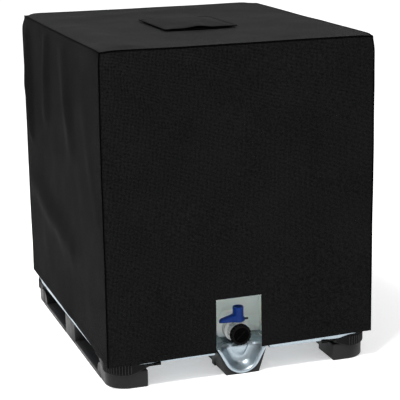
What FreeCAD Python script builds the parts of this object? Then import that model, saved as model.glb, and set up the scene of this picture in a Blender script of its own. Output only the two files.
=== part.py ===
import FreeCAD, Part
import math
import os
import re

import Sketcher
from FreeCAD import Placement, Rotation, Vector

# Intermediate bulk container: a bottle in a tube cage on a pallet, under a fitted fabric cover.
# Origin: centre of the pallet's footprint, on the floor. +Z is up, -Y is the valve's side.
DIMENSIONS = {
    # pallet
    "pallet_width": 996,
    "pallet_depth": 1196,
    "corner_radius": 80,
    "foot_size": 140,
    "foot_height": 64,
    "foot_inset": 1.5,
    "guard_length": 190,
    "guard_width": 60,
    "guard_height": 20,
    "guard_proud": 1.5,
    "rail_width": 30,
    "rail_height": 24,
    "deck_thickness": 2.5,
    "deck_notch_half": 102,
    "deck_notch_depth": 110,
    "rail_gap_half": 104,
    "cross_tube_width": 40,
    "cross_tube_pitch": 300,
    "block_length": 150,
    "block_width": 120,
    "centre_foot_length": 142,
    "centre_foot_low_half": 63,
    "centre_foot_top_half": 90,
    "saddle_half": 70,
    "saddle_length": 31,
    "skid_height": 16,
    # dished trough under the valve
    "trough_half_width": 92,
    "trough_top": 112,
    "trough_centre": 76,
    "trough_radius": 64,
    "trough_lean": 28,
    "trough_depth": 40,
    "trough_back_top": 98,
    "trough_sheet": 2.5,
    "trough_rim": 8,
    "trough_play": 1,
    "bolt_diameter": 10,
    "bolt_head": 18,
    "bolt_head_height": 6,
    "bolt_height": 30,
    "bolt_length": 30,
    # bottle
    "bottle_width": 940,
    "bottle_depth": 1140,
    "bottle_top": 1148,
    "bottle_wall": 4,
    "bottle_shoulder": 36,
    "recess_half": 115,
    "recess_depth": 108,
    "recess_top": 335,
    "neck_diameter": 156,
    "neck_bore": 144,
    "neck_top": 1176,
    "boss_diameter": 124,
    "boss_length": 28,
    "outlet_neck_diameter": 72,
    "outlet_neck_length": 48,
    # butterfly valve
    "outlet_height": 142,
    "outlet_bore": 50,
    "valve_outside": 62,
    "valve_flange": 71,
    "valve_flange_length": 5,
    "seal_thickness": 3,
    "valve_front": 580,
    "stem_forward": 552,
    "stem_diameter": 12,
    "stem_hole": 12.1,
    "stem_bottom": 114,
    "stem_top": 236,
    "bonnet_diameter": 27,
    "bonnet_top": 184,
    "disc_diameter": 49.2,
    "disc_thickness": 5,
    "disc_boss": 18,
    "disc_boss_length": 44,
    "nut_diameter": 84,
    "nut_bore": 72.6,
    "nut_lip": 4,
    "nut_lip_bore": 62.6,
    "lever_bottom": 186,
    "hub_diameter": 40,
    "hub_height": 57,
    "lever_reach": 73,
    "lever_width": 24,
    "lever_root": 24,
    "lever_toe": 9,
    "screw_diameter": 8,
    "screw_height": 193,
    "screw_inside": 12,
    "screw_outside": 18,
    "cap_diameter": 78,
    "cap_front": 586,
    "cap_length": 20,
    "cap_end": 4,
    "cap_bore": 63,
    "cap_seal_bore": 50,
    "cap_seal_thickness": 2,
    # fill lid
    "lid_diameter": 172,
    "lid_bore": 158,
    "lid_top": 1186,
    "lid_skirt_bottom": 1158,
    "gasket_thickness": 3,
    # cage
    "tube_diameter": 16,
    "upright_width": 20,
    "upright_depth": 12,
    "upright_round": 4,
    "ring_first": 302,
    "ring_pitch": 200,
    "ring_top": 1140,
    "upright_front_pitch": 140,
    "upright_side_pitch": 170,
    "bar_width": 32,
    "bar_height": 14,
    "bar_pitch": 500,
    "bar_screw_diameter": 8,
    "bar_screw_head": 14,
    "bar_screw_head_height": 4.7,
    "plate_width": 420,
    "plate_height": 300,
    "plate_bottom": 640,
    "plate_thickness": 1.5,
    "cage_play": 0.3,
    # cover
    "cover_width": 1012,
    "cover_depth": 1212,
    "cover_top": 1205,
    "hem_height": 116,
    "fabric": 3,
    "piping": 5,
    "notch_left": 103,
    "notch_right": 71,
    "notch_top": 294,
    "fill_hole": 200,
    "flap_half": 140,
    "flap_front": 192,
    "flap_rear": 150,
    "strip": 1.2,
    "strip_width": 25,
    "strip_half": 130,
    "strip_inset": 2,
    "piping_bend": 3,
    "flap_corner": 15,
    # how far a cut runs past the face that it goes through
    "overrun": 1,
}

DECK_BOTTOM = "foot_height + guard_height + rail_height"
DECK_TOP = "foot_height + guard_height + rail_height + deck_thickness"
RAIL_BOTTOM = "foot_height + guard_height"
RECESS_BACK = "(bottle_depth / 2 - recess_depth)"
OUTLET_FACE = "(bottle_depth / 2 - recess_depth + outlet_neck_length)"
VALVE_FRONT = "(valve_front - bottle_depth / 2 + recess_depth - outlet_neck_length)"
CAP_FRONT = "(cap_front - bottle_depth / 2 + recess_depth - outlet_neck_length)"

doc = FreeCAD.newDocument("bulk_container")
sheet = doc.addObject("Spreadsheet::Sheet", "Sheet")
for row, (alias, amount) in enumerate(DIMENSIONS.items(), start=1):
    sheet.set(f"A{row}", alias)
    sheet.set(f"B{row}", str(amount))
    sheet.setAlias(f"B{row}", alias)
working = doc.addObject("Spreadsheet::Sheet", "Working")
doc.recompute()

SUBPARTS = []
QUARTERS = {"rear_right": (1, 1, 0), "rear_left": (-1, 1, 90),
            "front_left": (-1, -1, 180), "front_right": (1, -1, 270)}
TO_FRONT = Rotation(Vector(1, 0, 0), 90)
ALONG_X = Rotation(Vector(0, 1, 0), 90)
UPRIGHT = Rotation()


# ---------------------------------------------------------------- helpers

def linked(text):
    """The text with each dimension's name made a reference to its cell."""
    return re.sub(r"[a-z_]{3,}", lambda word: "Sheet." + word.group() if word.group() in DIMENSIONS
                  else word.group(), str(text))


def number(text):
    """The value of an expression, worked out in a cell of the working sheet."""
    working.set("A1", "=" + linked(text))
    working.recompute()
    return float(working.get("A1"))


def place(piece, at, turn=UPRIGHT):
    """Turn a piece, and bind its position to the sheet."""
    piece.Placement = Placement(Vector(), turn)
    for axis, text in zip("xyz", at):
        piece.setExpression("Placement.Base." + axis, linked(text))
    return piece


def node(piece):
    """Count a piece as a sub-part, which is written under its label."""
    SUBPARTS.append(piece)
    return piece


def box(name, low, size):
    piece = doc.addObject("Part::Box", name)
    for side, text in zip(("Length", "Width", "Height"), size):
        piece.setExpression(side, linked(text))
    return place(piece, low)


def cylinder(name, diameter, length, at, turn=UPRIGHT):
    piece = doc.addObject("Part::Cylinder", name)
    piece.setExpression("Radius", linked(f"({diameter}) / 2"))
    piece.setExpression("Height", linked(length))
    return place(piece, at, turn)


def fuse(name, pieces):
    piece = doc.addObject("Part::MultiFuse", name)
    piece.Shapes = pieces
    return piece


def cut(name, base, tool):
    piece = doc.addObject("Part::Cut", name)
    piece.Base = base
    piece.Tool = tool
    return piece


def group(name, pieces):
    """Separate solids of one kind, kept as one sub-part."""
    piece = doc.addObject("Part::Compound", name)
    piece.Links = pieces
    return piece


def new_body(name, at=(0, 0, 0), turn=UPRIGHT):
    return place(doc.addObject("PartDesign::Body", name), at, turn)


def new_sketch(body, name, plane, offset=0):
    """An empty sketch on one of the body's own origin planes."""
    support = next(item for item in body.Origin.OriginFeatures if item.Role == plane)
    sketch = body.newObject("Sketcher::SketchObject", name)
    sketch.AttachmentSupport = [(support, "")]
    sketch.MapMode = "FlatFace"
    sketch.setExpression("AttachmentOffset.Base.z", linked(offset))
    return sketch


def fix_point(sketch, line, end, point):
    """Hold a sketch point at a pair of expressions from the origin."""
    for kind, text in zip(("DistanceX", "DistanceY"), point):
        index = sketch.addConstraint(Sketcher.Constraint(kind, -1, 1, line, end, number(text)))
        sketch.setExpression(f"Constraints[{index}]", linked(text))


def polygon(body, name, plane, points, offset=0):
    """A closed outline of straight lines through the points, each a pair of expressions."""
    sketch = new_sketch(body, name, plane, offset)
    corners = [Vector(number(x), number(y), 0) for x, y in points]
    count = len(corners)
    for index in range(count):
        sketch.addGeometry(Part.LineSegment(corners[index], corners[(index + 1) % count]))
    for index in range(count):
        sketch.addConstraint(Sketcher.Constraint("Coincident", index, 2, (index + 1) % count, 1))
        fix_point(sketch, index, 1, points[index])
    return sketch


def rectangle(body, name, plane, low, high, offset=0):
    (x0, y0), (x1, y1) = low, high
    return polygon(body, name, plane, [(x0, y0), (x1, y0), (x1, y1), (x0, y1)], offset)


def circle(body, name, plane, centre, diameter, offset=0):
    sketch = new_sketch(body, name, plane, offset)
    middle = Vector(number(centre[0]), number(centre[1]), 0)
    sketch.addGeometry(Part.Circle(middle, Vector(0, 0, 1), number(f"({diameter}) / 2")))
    fix_point(sketch, 0, 3, centre)
    index = sketch.addConstraint(Sketcher.Constraint("Diameter", 0, number(diameter)))
    sketch.setExpression(f"Constraints[{index}]", linked(diameter))
    return sketch


def pad(body, sketch, length, back=False, middle=False):
    feature = body.newObject("PartDesign::Pad", sketch.Name + "_pad")
    feature.Profile = sketch
    feature.setExpression("Length", linked(length))
    feature.Reversed = back
    feature.Midplane = middle
    return feature


def pocket(body, sketch, length, back=False, middle=False):
    """Cut a sketch out of the body, and make sure that it does cut."""
    doc.recompute()
    before = body.Shape.Volume
    feature = body.newObject("PartDesign::Pocket", sketch.Name + "_pocket")
    feature.Profile = sketch
    feature.setExpression("Length", linked(length))
    feature.Reversed = back
    feature.Midplane = middle
    doc.recompute()
    if body.Shape.Volume >= before:
        raise RuntimeError(feature.Name + " cuts nothing")
    return feature


def round_edges(body, name, radius, wanted):
    """Fillet the edges of the body's last feature for which wanted(edge) is true."""
    doc.recompute()
    last = body.Tip
    names = [f"Edge{index}" for index, edge in enumerate(last.Shape.Edges, start=1) if wanted(edge)]
    feature = body.newObject("PartDesign::Fillet", name)
    feature.Base = (last, names)
    feature.setExpression("Radius", linked(radius))
    return feature


def along(edge, axis):
    """True for a straight edge along the axis (0, 1 or 2)."""
    if not isinstance(edge.Curve, Part.Line):
        return False
    direction = edge.tangentAt(edge.FirstParameter)
    return abs(abs(direction[axis]) - 1) < 1e-6


def turned(name, points, at, turn=UPRIGHT):
    """A piece turned on a lathe: an outline of (radius, height) pairs round its own Z."""
    body = new_body(name, at, turn)
    sketch = polygon(body, name + "_outline", "XZ_Plane", points)
    feature = body.newObject("PartDesign::Revolution", name + "_turn")
    feature.Profile = sketch
    feature.ReferenceAxis = (sketch, ["V_Axis"])
    feature.Angle = 360
    return body


def ring(name, half_x, half_y, corner, height, section):
    """A tube bent to a rounded rectangle. section(body, name) draws the tube's section on XZ."""
    body = new_body(name)
    spine = new_sketch(body, name + "_path", "XY_Plane", height)
    x, y, r = number(half_x), number(half_y), number(corner)
    straights = [((x, 0), (x, y - r)), ((x - r, y), (r - x, y)), ((-x, y - r), (-x, r - y)),
                 ((r - x, -y), (x - r, -y)), ((x, r - y), (x, 0))]
    centres = [(x - r, y - r), (r - x, y - r), (r - x, r - y), (x - r, r - y)]
    for start, end in straights:
        spine.addGeometry(Part.LineSegment(Vector(*start, 0), Vector(*end, 0)))
    for quarter, centre in enumerate(centres):
        bend = Part.Circle(Vector(*centre, 0), Vector(0, 0, 1), r)
        turn = quarter * math.pi / 2
        spine.addGeometry(Part.ArcOfCircle(bend, turn, turn + math.pi / 2))
    for line in range(4):
        spine.addConstraint(Sketcher.Constraint("Tangent", line, 2, 5 + line, 1))
        spine.addConstraint(Sketcher.Constraint("Tangent", 5 + line, 2, line + 1, 1))
    spine.addConstraint(Sketcher.Constraint("Coincident", 4, 2, 0, 1))
    spine.addConstraint(Sketcher.Constraint("Vertical", 4))
    for line, kind in enumerate(("Vertical", "Horizontal", "Vertical", "Horizontal")):
        spine.addConstraint(Sketcher.Constraint(kind, line))
    for line in range(1, 4):
        spine.addConstraint(Sketcher.Constraint("Equal", 5, 5 + line))
    fix_point(spine, 0, 1, (half_x, 0))
    sizes = [("Radius", (5,), corner), ("DistanceX", (-1, 1, 2, 1), f"-({half_x})"),
             ("DistanceY", (-1, 1, 1, 1), half_y), ("DistanceY", (-1, 1, 3, 1), f"-({half_y})")]
    for kind, ends, text in sizes:
        index = spine.addConstraint(Sketcher.Constraint(kind, *ends, number(text)))
        spine.setExpression(f"Constraints[{index}]", linked(text))
    profile = section(body, name + "_section")
    pipe = body.newObject("PartDesign::AdditivePipe", name + "_pipe")
    pipe.Profile = profile
    pipe.Spine = (spine, [])
    body.Tip = pipe
    return body


# ---------------------------------------------------------------- pallet

def corner_pieces():
    """A square foot and an L-shaped guard on each corner, both with a large outer radius."""
    for corner, (x_side, y_side, angle) in QUARTERS.items():
        turn = Rotation(Vector(0, 0, 1), angle)
        inset = "foot_inset"
        foot = new_body("corner_foot_" + corner,
                        (f"{x_side} * (pallet_width / 2 - {inset})",
                         f"{y_side} * (pallet_depth / 2 - {inset})", 0), turn)
        outline = rectangle(foot, foot.Name + "_outline", "XY_Plane",
                            ("-foot_size", "-foot_size"), (0, 0))
        pad(foot, outline, "foot_height")
        round_edges(foot, foot.Name + "_corner", "corner_radius - foot_inset",
                    lambda edge: along(edge, 2) and math.hypot(*edge.CenterOfMass[:2]) < 1)
        node(foot)
        guard = new_body("corner_guard_" + corner,
                         (f"{x_side} * (pallet_width / 2 + guard_proud)",
                          f"{y_side} * (pallet_depth / 2 + guard_proud)", "foot_height"), turn)
        outline = polygon(guard, guard.Name + "_outline", "XY_Plane", [
            (0, 0), ("-guard_length", 0), ("-guard_length", "-guard_width"),
            ("-guard_width", "-guard_width"), ("-guard_width", "-guard_length"), (0, "-guard_length")])
        pad(guard, outline, "guard_height")
        round_edges(guard, guard.Name + "_corner", "corner_radius + guard_proud",
                    lambda edge: along(edge, 2) and math.hypot(*edge.CenterOfMass[:2]) < 1)
        node(guard)


def cradle(body, name, extra, top, offset=0):
    """The trough's U outline, extra outside its inner face: two flanks on an arc, closed on top."""
    radius = f"(trough_radius + {extra})"
    low_x = f"{radius} * cos(trough_lean)"
    low_z = f"trough_centre - {radius} * sin(trough_lean)"
    top_x = f"{low_x} + ({top} - ({low_z})) * tan(trough_lean)"
    sketch = new_sketch(body, name, "XZ_Plane", offset)
    right = [Vector(number(top_x), number(top), 0), Vector(number(low_x), number(low_z), 0)]
    left = [Vector(-point.x, point.y, 0) for point in right]
    lean = math.radians(number("trough_lean"))
    bend = Part.Circle(Vector(0, number("trough_centre"), 0), Vector(0, 0, 1), number(radius))
    sketch.addGeometry(Part.LineSegment(left[0], left[1]))
    sketch.addGeometry(Part.ArcOfCircle(bend, math.pi + lean, 2 * math.pi - lean))
    sketch.addGeometry(Part.LineSegment(right[1], right[0]))
    sketch.addGeometry(Part.LineSegment(right[0], left[0]))
    for line in range(4):
        sketch.addConstraint(Sketcher.Constraint("Coincident", line, 2, (line + 1) % 4, 1))
    fix_point(sketch, 0, 1, (f"-({top_x})", top))
    fix_point(sketch, 0, 2, (f"-({low_x})", low_z))
    fix_point(sketch, 2, 1, (low_x, low_z))
    fix_point(sketch, 3, 1, (top_x, top))
    index = sketch.addConstraint(Sketcher.Constraint("Radius", 1, number(radius)))
    sketch.setExpression(f"Constraints[{index}]", linked(radius))
    return sketch


def front_trough():
    """Dished sheet under the valve: a rounded V with a rim in front and a back wall."""
    body = new_body("front_trough", (0, "-(pallet_depth / 2 - foot_inset)", 0))
    pad(body, cradle(body, "trough_rim", "trough_rim", "trough_top"), "trough_sheet")
    tub = cradle(body, "trough_tub", "trough_sheet", "trough_top")
    pad(body, tub, "trough_depth", back=True)
    dish = cradle(body, "trough_dish", "0", "(trough_top + 5 * overrun)", "trough_sheet + overrun")
    pocket(body, dish, "trough_depth + overrun")
    clear = rectangle(body, "trough_back", "XZ_Plane", ("-2 * trough_half_width", "trough_back_top"),
                      ("2 * trough_half_width", "trough_top + 5 * overrun"), "trough_sheet - trough_depth")
    pocket(body, clear, "2 * trough_sheet")
    node(body)
    wall_face = "(pallet_depth / 2 - foot_inset - trough_depth + trough_sheet)"
    hole = circle(body, "trough_hole", "XZ_Plane", (0, "bolt_height"), "bolt_diameter",
                  "2 * overrun - trough_depth")
    pocket(body, hole, "trough_sheet + 4 * overrun", middle=True)
    head = cylinder("trough_bolt_head", "bolt_head", "bolt_head_height",
                    (0, "-" + wall_face, "bolt_height"), TO_FRONT)
    shank = cylinder("trough_bolt_shank", "bolt_diameter", "bolt_length",
                     (0, f"bolt_length - {wall_face}", "bolt_height"), TO_FRONT)
    node(fuse("trough_bolt", [head, shank]))


def pallet_centre():
    """Feet and blocks on the middle lines. The front foot is cut out round the trough."""
    length = "centre_foot_length"
    end = "(pallet_depth / 2 - foot_inset)"
    trapezoid = [("-centre_foot_low_half", 0), ("centre_foot_low_half", 0),
                 ("centre_foot_top_half", RAIL_BOTTOM), ("-centre_foot_top_half", RAIL_BOTTOM)]
    rear = new_body("centre_foot_rear", (0, end, 0))
    pad(rear, polygon(rear, "rear_foot_outline", "XZ_Plane", trapezoid), length)
    node(rear)
    front = new_body("centre_foot_front", (0, "-" + end, 0))
    pad(front, polygon(front, "front_foot_outline", "XZ_Plane", trapezoid), length, back=True)
    saddle = rectangle(front, "saddle_outline", "XZ_Plane", ("-saddle_half", 0),
                       ("saddle_half", DECK_BOTTOM), f"-{length}")
    pad(front, saddle, "saddle_length")
    seat = cradle(front, "trough_seat", "trough_sheet + trough_play", "trough_top")
    pocket(front, seat, "trough_depth + trough_play")
    hole = circle(front, "bolt_hole", "XZ_Plane", (0, "bolt_height"), "bolt_diameter")
    pocket(front, hole, "trough_depth - trough_sheet + bolt_length")
    node(front)
    node(box("middle_block", ("-block_width / 2", "-block_length / 2", 0),
             ("block_width", "block_length", RAIL_BOTTOM)))
    for side, low in (("left", "-(pallet_width / 2 - foot_inset)"),
                      ("right", "pallet_width / 2 - foot_inset - block_width")):
        node(box("side_block_" + side, (low, "-block_length / 2", 0),
                 ("block_width", "block_length", RAIL_BOTTOM)))


def skids():
    """Low runners between the feet and blocks of each line, two on each line."""
    outer = "pallet_depth / 2 - foot_inset - foot_size"
    inner = "pallet_depth / 2 - foot_inset - centre_foot_length"
    lines = {"left": ("-(pallet_width / 2 - foot_inset)", outer),
             "centre": ("-block_width / 2", inner),
             "right": ("pallet_width / 2 - foot_inset - block_width", outer)}
    for line, (low, far) in lines.items():
        run = f"({far} - block_length / 2)"
        pieces = [box(f"skid_{line}_{end}", (low, start, 0), ("block_width", run, "skid_height"))
                  for end, start in (("front", f"-({far})"), ("rear", "block_length / 2"))]
        node(group("skids_" + line, pieces))


def deck():
    """Base ring, cross tubes and the deck sheet on them, all open in front for the valve."""
    half_x = "(pallet_width / 2 - rail_width / 2)"
    half_y = "(pallet_depth / 2 - rail_width / 2)"

    def section(body, name):
        return rectangle(body, name, "XZ_Plane", ("pallet_width / 2 - rail_width", RAIL_BOTTOM),
                         ("pallet_width / 2", DECK_BOTTOM))

    base = ring("base_ring", half_x, half_y, "corner_radius - rail_width / 2",
                f"{RAIL_BOTTOM} + rail_height / 2", section)
    gap = rectangle(base, "ring_gap_outline", "XY_Plane", ("-rail_gap_half", "-pallet_depth"),
                    ("rail_gap_half", 0), "foot_height")
    pocket(base, gap, DECK_TOP, back=True)
    node(base)
    for place_name, step in (("front", -1), ("middle", 0), ("rear", 1)):
        low = ("-(pallet_width / 2 - rail_width)",
               f"{step} * cross_tube_pitch - cross_tube_width / 2", RAIL_BOTTOM)
        node(box("cross_tube_" + place_name, low,
                 ("pallet_width - 2 * rail_width", "cross_tube_width", "rail_height")))
    top = new_body("deck_sheet", (0, 0, DECK_BOTTOM))
    outline = rectangle(top, "deck_outline", "XY_Plane", ("-pallet_width / 2", "-pallet_depth / 2"),
                        ("pallet_width / 2", "pallet_depth / 2"))
    pad(top, outline, "deck_thickness")
    round_edges(top, "deck_corners", "corner_radius", lambda edge: along(edge, 2))
    notch = rectangle(top, "deck_notch_outline", "XY_Plane",
                      ("-deck_notch_half", "-pallet_depth"),
                      ("deck_notch_half", "-pallet_depth / 2 + deck_notch_depth"), "-overrun")
    pocket(top, notch, "deck_thickness + 2 * overrun", back=True)
    node(top)


# ---------------------------------------------------------------- bottle

def bottle_block(name, inset):
    """The bottle's block with its front recess, as its outside or, inset, as its inside."""
    body = new_body(name)
    wide = f"(bottle_width / 2 - {inset})"
    deep = f"(bottle_depth / 2 - {inset})"
    outline = rectangle(body, name + "_outline", "XY_Plane", ("-" + wide, "-" + deep), (wide, deep),
                        f"{DECK_TOP} + {inset}")
    pad(body, outline, f"bottle_top - ({DECK_TOP}) - 2 * {inset}")
    round_edges(body, name + "_corners", f"corner_radius - {inset}", lambda edge: along(edge, 2))
    top = number(f"bottle_top - {inset}")
    round_edges(body, name + "_shoulder", f"bottle_shoulder - {inset}",
                lambda edge: abs(edge.CenterOfMass[2] - top) < 0.01)
    recess = rectangle(body, name + "_recess", "XY_Plane",
                       (f"-(recess_half + {inset})", "-bottle_depth"),
                       (f"recess_half + {inset}", f"{inset} - {RECESS_BACK}"), "foot_height")
    pocket(body, recess, f"recess_top + {inset} - foot_height", back=True)
    return body


def outlet_cylinder(name, diameter, start, end):
    """A cylinder along the outlet's axis, between two distances in front of the neck's face."""
    return cylinder(name, diameter, f"({end}) - ({start})",
                    (0, f"-({OUTLET_FACE} + ({start}))", "outlet_height"), TO_FRONT)


def bottle():
    """Hollow bottle: a fill neck on top, and an outlet neck on a boss in the front recess."""
    wall_start = "-(outlet_neck_length + bottle_wall / 2)"
    boss = cut("outlet_boss",
               outlet_cylinder("boss_round", "boss_diameter", wall_start,
                               "boss_length - outlet_neck_length"),
               box("below_deck_top", ("-boss_diameter", "-bottle_depth / 2", 0),
                   ("2 * boss_diameter", "bottle_depth / 2", DECK_TOP)))
    neck = cylinder("fill_neck", "neck_diameter", "neck_top - bottle_top + bottle_wall / 2",
                    (0, 0, "bottle_top - bottle_wall / 2"))
    outside = fuse("bottle_outside", [
        bottle_block("bottle_form", "0"), boss, neck,
        outlet_cylinder("outlet_neck", "outlet_neck_diameter", "boss_length - outlet_neck_length", 0)])
    inside = fuse("bottle_inside", [
        bottle_block("bottle_hollow", "bottle_wall"),
        cylinder("fill_bore", "neck_bore", "neck_top - bottle_top + 4 * bottle_wall",
                 (0, 0, "bottle_top - 2 * bottle_wall")),
        outlet_cylinder("outlet_bore_space", "outlet_bore",
                        "-(outlet_neck_length + 2 * bottle_wall)", "bottle_wall")])
    node(cut("bottle", outside, inside))


def fill_lid():
    """Screwed lid on the fill neck, with a flat gasket under it."""
    seat = "neck_top + gasket_thickness"
    node(turned("fill_lid", [
        ("lid_bore / 2", "lid_skirt_bottom"), ("lid_diameter / 2", "lid_skirt_bottom"),
        ("lid_diameter / 2", "lid_top"), (0, "lid_top"), (0, seat), ("lid_bore / 2", seat)],
        (0, 0, 0)))
    node(turned("lid_gasket", [
        ("neck_bore / 2", "neck_top"), ("neck_diameter / 2", "neck_top"),
        ("neck_diameter / 2", seat), ("neck_bore / 2", seat)], (0, 0, 0)))


# ---------------------------------------------------------------- butterfly valve

def lathe_front(name, points):
    """A turned piece on the outlet's axis: heights count forward from the neck's face."""
    return node(turned(name, points, (0, "-" + OUTLET_FACE, "outlet_height"), TO_FRONT))


def tube_outline(inner, outer, start, end):
    """The section of a plain ring or tube, from its two diameters and its two ends."""
    return [(f"{inner} / 2", start), (f"{outer} / 2", start),
            (f"{outer} / 2", end), (f"{inner} / 2", end)]


def valve_fixed():
    """Neck seal, union nut, and the valve's body with its bonnet for the stem."""
    lathe_front("neck_seal", tube_outline("outlet_bore", "valve_flange", 0, "seal_thickness"))
    flange_end = "seal_thickness + valve_flange_length"
    lathe_front("union_nut", [
        ("nut_bore / 2", "boss_length - outlet_neck_length"),
        ("nut_diameter / 2", "boss_length - outlet_neck_length"),
        ("nut_diameter / 2", f"{flange_end} + nut_lip"),
        ("nut_lip_bore / 2", f"{flange_end} + nut_lip"),
        ("nut_lip_bore / 2", flange_end), ("nut_bore / 2", flange_end)])
    flange = outlet_cylinder("valve_rear_flange", "valve_flange", "seal_thickness", flange_end)
    tube = outlet_cylinder("valve_tube", "valve_outside", "seal_thickness", VALVE_FRONT)
    bonnet = cylinder("valve_bonnet", "bonnet_diameter", "bonnet_top - outlet_height",
                      (0, "-stem_forward", "outlet_height"))
    bore = outlet_cylinder("valve_bore", "outlet_bore", 0, f"{VALVE_FRONT} + seal_thickness")
    hole = cylinder("valve_stem_hole", "stem_hole", "bonnet_top - stem_bottom + overrun",
                    (0, "-stem_forward", "stem_bottom"))
    node(cut("valve_body", fuse("valve_solid", [flange, tube, bonnet]),
             fuse("valve_hollow", [bore, hole])))


def valve_moving():
    """Stem, disc on the stem, lever on the stem's top, and the screw that holds the lever."""
    node(cylinder("valve_stem", "stem_diameter", "stem_top - stem_bottom",
                  (0, "-stem_forward", "stem_bottom")))
    plate = cylinder("disc_plate", "disc_diameter", "disc_thickness",
                     (0, "disc_thickness / 2 - stem_forward", "outlet_height"), TO_FRONT)
    boss = cylinder("disc_sleeve", "disc_boss", "disc_boss_length",
                    (0, "-stem_forward", "outlet_height - disc_boss_length / 2"))
    hole = cylinder("disc_hole", "stem_diameter", "2 * disc_diameter",
                    (0, "-stem_forward", "outlet_height - disc_diameter"))
    node(cut("valve_disc", fuse("disc_solid", [plate, boss]), hole))
    lever = new_body("valve_lever", (0, "-stem_forward", "lever_bottom"))
    pad(lever, circle(lever, "hub_outline", "XY_Plane", (0, 0), "hub_diameter"), "hub_height")
    arm = polygon(lever, "arm_outline", "XZ_Plane", [
        (0, 0), ("-(lever_reach - lever_toe / 3)", 0), ("-lever_reach", "lever_toe / 3"),
        ("-(lever_reach - lever_toe / 3)", "lever_toe"), ("-hub_diameter / 2", "lever_root"),
        (0, "lever_root")])
    pad(lever, arm, "lever_width", middle=True)
    socket = circle(lever, "stem_socket", "XY_Plane", (0, 0), "stem_diameter")
    pocket(lever, socket, "stem_top - lever_bottom", back=True)
    seat = circle(lever, "screw_seat", "YZ_Plane", (0, "screw_height - lever_bottom"),
                  "screw_diameter", "hub_diameter / 2 + overrun")
    pocket(lever, seat, "screw_inside + overrun")
    node(lever)
    node(cylinder("lever_screw", "screw_diameter", "screw_inside + screw_outside",
                  ("hub_diameter / 2 - screw_inside", "-stem_forward", "screw_height"), ALONG_X))


def outlet_cap():
    """Screwed dust cap on the valve's outlet, with a ring seal in it."""
    start = f"{CAP_FRONT} - cap_length"
    wall = f"{CAP_FRONT} - cap_end"
    lathe_front("outlet_cap", [
        ("cap_bore / 2", start), ("cap_diameter / 2", start), ("cap_diameter / 2", CAP_FRONT),
        (0, CAP_FRONT), (0, wall), ("cap_bore / 2", wall)])
    lathe_front("cap_seal", tube_outline("cap_seal_bore", "valve_outside", VALVE_FRONT,
                                         f"{VALVE_FRONT} + cap_seal_thickness"))


# ---------------------------------------------------------------- cage

CAGE_X = "(bottle_width / 2 + cage_play + tube_diameter / 2)"
CAGE_Y = "(bottle_depth / 2 + cage_play + tube_diameter / 2)"


def cage_rings():
    """Round tubes bent round the bottle, the top one at its own height."""
    heights = [f"ring_first + {step} * ring_pitch" for step in range(4)] + ["ring_top"]
    for index, height in enumerate(heights, start=1):
        def section(body, name, height=height):
            return circle(body, name, "XZ_Plane", (CAGE_X, height), "tube_diameter")
        node(ring(f"cage_ring_{index}", CAGE_X, CAGE_Y,
                  "corner_radius + cage_play + tube_diameter / 2", height, section))


def upright(name, low, size):
    """A flattened tube that stands on the deck, with rounded edges."""
    tube = box(name + "_tube", (*low, DECK_TOP), (*size, f"ring_top - ({DECK_TOP})"))
    doc.recompute()
    piece = doc.addObject("Part::Fillet", name)
    piece.Base = tube
    radius = number("upright_round")
    piece.Edges = [(index, radius, radius) for index, edge in enumerate(tube.Shape.Edges, start=1)
                   if along(edge, 2)]
    return piece


def cage_uprights():
    """Uprights welded outside the rings, each side's as one sub-part."""
    outside = "tube_diameter / 2"
    for side, low in (("front", f"-({CAGE_Y} + {outside} + upright_depth)"),
                      ("rear", f"{CAGE_Y} + {outside}")):
        steps = (-3, -2, -1, 1, 2, 3)
        node(group("cage_uprights_" + side, [
            upright(f"upright_{side}_{index}",
                    (f"{step} * upright_front_pitch - upright_width / 2", low),
                    ("upright_width", "upright_depth"))
            for index, step in enumerate(steps, start=1)]))
    for side, low in (("left", f"-({CAGE_X} + {outside} + upright_depth)"),
                      ("right", f"{CAGE_X} + {outside}")):
        node(group("cage_uprights_" + side, [
            upright(f"upright_{side}_{index}",
                    (low, f"{step} * upright_side_pitch - upright_width / 2"),
                    ("upright_depth", "upright_width"))
            for index, step in enumerate(range(-3, 4), start=1)]))


def cage_top():
    """Two bars over the bottle, screwed to the top ring, and a blank label plate in front."""
    screws = []
    for end, sign in (("front", -1), ("rear", 1)):
        middle = f"{sign} * bar_pitch / 2"
        holes = []
        for side, hand in (("left", -1), ("right", 1)):
            at = (f"{hand} * {CAGE_X}", middle, "bottle_top")
            holes.append(cylinder(f"bar_hole_{end}_{side}", "bar_screw_diameter", "2 * bar_height", at))
            shank = cylinder(f"bar_shank_{end}_{side}", "bar_screw_diameter", "bar_height", at)
            head = cylinder(f"bar_head_{end}_{side}", "bar_screw_head", "bar_screw_head_height",
                            (*at[:2], "bottle_top + bar_height"))
            screws.append(fuse(f"bar_screw_{end}_{side}", [shank, head]))
        bar = box("bar_solid_" + end,
                  (f"-({CAGE_X} + tube_diameter / 2)", f"{middle} - bar_width / 2", "bottle_top"),
                  (f"2 * {CAGE_X} + tube_diameter", "bar_width", "bar_height"))
        node(cut("top_bar_" + end, bar, group("bar_holes_" + end, holes)))
    node(group("top_bar_screws", screws))
    face = f"-({CAGE_Y} + tube_diameter / 2 + upright_depth + plate_thickness)"
    node(box("label_plate", ("-plate_width / 2", face, "plate_bottom"),
             ("plate_width", "plate_thickness", "plate_height")))


# ---------------------------------------------------------------- cover

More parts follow.
